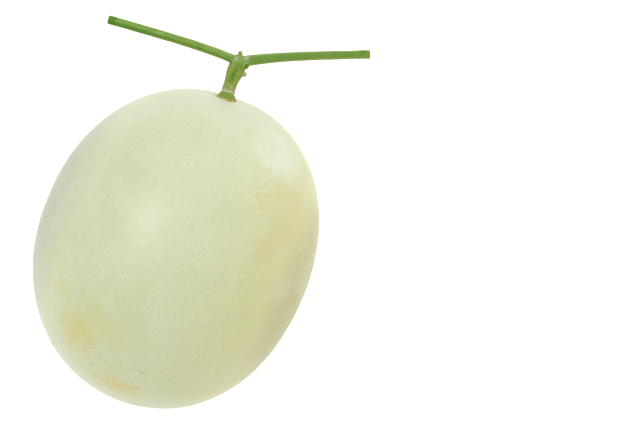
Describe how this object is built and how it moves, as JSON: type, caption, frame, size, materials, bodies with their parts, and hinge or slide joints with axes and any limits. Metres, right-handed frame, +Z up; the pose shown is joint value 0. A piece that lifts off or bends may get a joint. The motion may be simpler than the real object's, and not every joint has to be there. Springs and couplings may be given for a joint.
{
  "type": "melon",
  "caption": "Whole smooth-skinned pale green melon lying on its side, with its green stalk and a cut T-shaped piece of vine.",
  "frame": {"origin": "middle of the flat ground spot that the melon rests on", "axes": "+Z up, +X level towards the stem end, +Y towards the longer arm of the vine"},
  "size_m": [0.227, 0.1557, 0.148],
  "materials": {
    "rind": "waxy satin rind, pale green with faint yellow patches",
    "stem": "fresh green plant stem, matte, lengthwise ridges"
  },
  "bodies": {
    "root": {"melon": "rind", "stem": "stem"}
  },
  "joints": []
}
